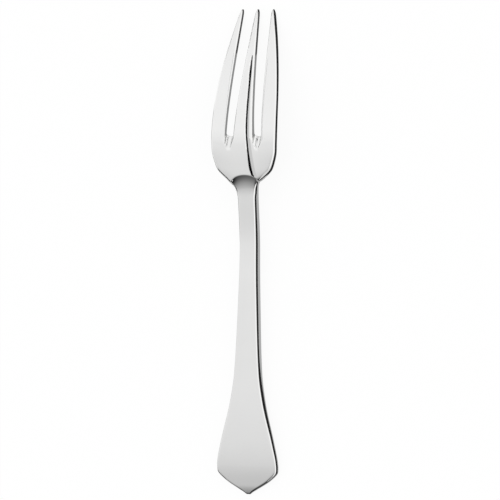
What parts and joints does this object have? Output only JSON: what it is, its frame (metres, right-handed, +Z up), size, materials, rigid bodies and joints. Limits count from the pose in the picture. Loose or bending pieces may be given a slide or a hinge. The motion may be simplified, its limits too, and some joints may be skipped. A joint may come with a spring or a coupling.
{
  "type": "dinner fork",
  "caption": "One-piece polished table fork with long tapering prongs, an arched bowl, a slim stem and a handle that spreads to a shouldered, pointed end.",
  "frame": {"origin": "middle of the fork's length and width, on the table that it lies on", "axes": "+Y along the fork towards the points of the prongs, +Z up out of the back of the bowl, +X to the right seen from above"},
  "size_m": [0.029, 0.2, 0.0146],
  "materials": {
    "polished_silver": "mirror-polished silver plate with fine hairline wear"
  },
  "bodies": {
    "root": {"left_tine": "polished_silver", "middle_tine": "polished_silver", "right_tine": "polished_silver", "bowl": "polished_silver", "neck": "polished_silver", "stem": "polished_silver", "handle": "polished_silver", "handle_end": "polished_silver"}
  },
  "joints": []
}
